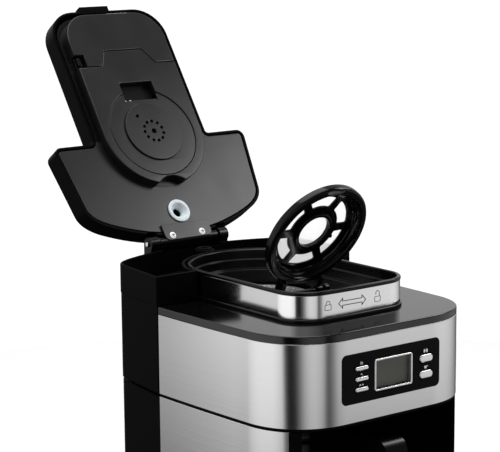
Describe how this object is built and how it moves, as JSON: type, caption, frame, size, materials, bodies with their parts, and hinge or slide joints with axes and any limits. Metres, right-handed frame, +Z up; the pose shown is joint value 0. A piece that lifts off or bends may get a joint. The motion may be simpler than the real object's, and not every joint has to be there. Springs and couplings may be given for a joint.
{
  "type": "drip coffee maker",
  "caption": "Grind-and-brew drip coffee maker with rear-hinged lid, lift-out filter basket, hinged basket cover, rear tank, control panel and glass carafe.",
  "frame": {"origin": "on the surface the machine stands on, under the middle of the body", "axes": "+X to the machine's right as seen from the front, front faces -Y, +Z up"},
  "size_m": [0.206, 0.4196, 0.534],
  "materials": {
    "body_steel": "horizontally brushed",
    "bright_trim": "bright",
    "mesh_steel": "fine woven mesh",
    "piano_black": "polished",
    "housing_black": "satin",
    "inner_black": "matt",
    "lid_grey": "satin",
    "hot_plate": "non-stick coating",
    "cast_metal": "as cast",
    "foot_rubber": "matt",
    "silicone": "translucent",
    "circuit": "solder mask",
    "display": "clear window over a grey display",
    "glass": "clear"
  },
  "bodies": {
    "machine": {"base_pan": "housing_black", "bottom_cover": "inner_black", "foot_front_left": "foot_rubber", "foot_front_right": "foot_rubber", "foot_rear_left": "foot_rubber", "foot_rear_right": "foot_rubber", "warming_plate": "hot_plate", "flow_heater": "cast_metal", "lower_housing": "housing_black", "side_panel_left": "body_steel", "side_panel_right": "body_steel", "cord_gland": "foot_rubber", "upper_housing": "housing_black", "steel_wrap": "body_steel", "top_deck": "piano_black", "rear_cover": "housing_black", "control_fascia": "piano_black", "display_frame": "bright_trim", "display_window": "display", "control_board": "circuit", "brew_box": "housing_black", "box_band": "body_steel", "cover_pin": "bright_trim", "grinder_cup": "body_steel", "grinder_motor": "cast_metal", "water_tank": "housing_black", "outlet_strainer": "silicone", "supply_tube": "silicone", "riser_tube": "inner_black", "hinge_bracket_left": "housing_black", "hinge_bracket_right": "housing_black", "hinge_pin": "bright_trim"},
    "lid": {"lid_shell": "housing_black", "lid_inner_plate": "lid_grey", "lid_platform": "lid_grey", "lid_front_cover": "lid_grey", "shower_head": "lid_grey", "inlet_grommet": "silicone", "water_duct": "silicone", "lid_screw_left": "bright_trim", "lid_screw_right": "bright_trim"},
    "latch": {"lid_latch": "housing_black"},
    "cover": {"basket_cover": "piano_black", "cover_screen": "mesh_steel"},
    "basket": {"filter_basket": "inner_black", "mesh_filter": "mesh_steel", "valve_spring": "bright_trim"},
    "valve": {"drip_valve": "inner_black"},
    "grinder": {"grinder_blade": "bright_trim", "grinder_shaft": "bright_trim"},
    "carafe": {"carafe_glass": "glass", "carafe_collar": "bright_trim", "carafe_lid": "housing_black", "carafe_handle": "housing_black"},
    "clock_button": {"button_clock": "bright_trim"},
    "hour_button": {"button_hour": "bright_trim"},
    "minute_button": {"button_minute": "bright_trim"},
    "beans_button": {"button_beans": "bright_trim"},
    "brew_button": {"button_brew": "bright_trim"}
  },
  "joints": [
    {"name": "lid_hinge", "type": "hinge", "parent": "machine", "child": "lid", "pos_m": [0, 0.1414, 0.3358], "axis": [1, 0, 0], "range_deg": [0, 124.3]},
    {"name": "basket_cover_hinge", "type": "hinge", "parent": "machine", "child": "cover", "pos_m": [0, -0.0156, 0.3135], "axis": [1, 0, 0], "range_deg": [-118.85, 0]},
    {"name": "latch_slide", "type": "slide", "parent": "lid", "child": "latch", "axis": [1, 0, 0], "range_m": [0, 0.025]},
    {"name": "basket_lift", "type": "slide", "parent": "machine", "child": "basket", "axis": [0, 0, -1], "range_m": [-0.095, 0]},
    {"name": "valve_slide", "type": "slide", "parent": "basket", "child": "valve", "axis": [0, 0, 1], "range_m": [0, 0.003], "stiffness_N_per_m": 150, "springref_m": -0.003, "deforming": ["valve_spring"]},
    {"name": "carafe_slide", "type": "slide", "parent": "machine", "child": "carafe", "axis": [0, -1, 0], "range_m": [0, 0.17]},
    {"name": "grinder_spin", "type": "hinge", "parent": "machine", "child": "grinder", "pos_m": [0, -0.048, 0.27], "axis": [0, 0, 1], "continuous": true},
    {"name": "clock_press", "type": "slide", "parent": "machine", "child": "clock_button", "axis": [0, 1, 0], "range_m": [0, 0.0008], "stiffness_N_per_m": 700, "springref_m": -0.0008},
    {"name": "hour_press", "type": "slide", "parent": "machine", "child": "hour_button", "axis": [0, 1, 0], "range_m": [0, 0.0008], "stiffness_N_per_m": 700, "springref_m": -0.0008},
    {"name": "minute_press", "type": "slide", "parent": "machine", "child": "minute_button", "axis": [0, 1, 0], "range_m": [0, 0.0008], "stiffness_N_per_m": 700, "springref_m": -0.0008},
    {"name": "beans_press", "type": "slide", "parent": "machine", "child": "beans_button", "axis": [0, 1, 0], "range_m": [0, 0.0008], "stiffness_N_per_m": 700, "springref_m": -0.0008},
    {"name": "brew_press", "type": "slide", "parent": "machine", "child": "brew_button", "axis": [0, 1, 0], "range_m": [0, 0.0008], "stiffness_N_per_m": 700, "springref_m": -0.0008}
  ],
  "couplings": [
    {"joint": "basket_cover_hinge", "follows": "lid_hinge", "ratio": -0.95615}
  ]
}
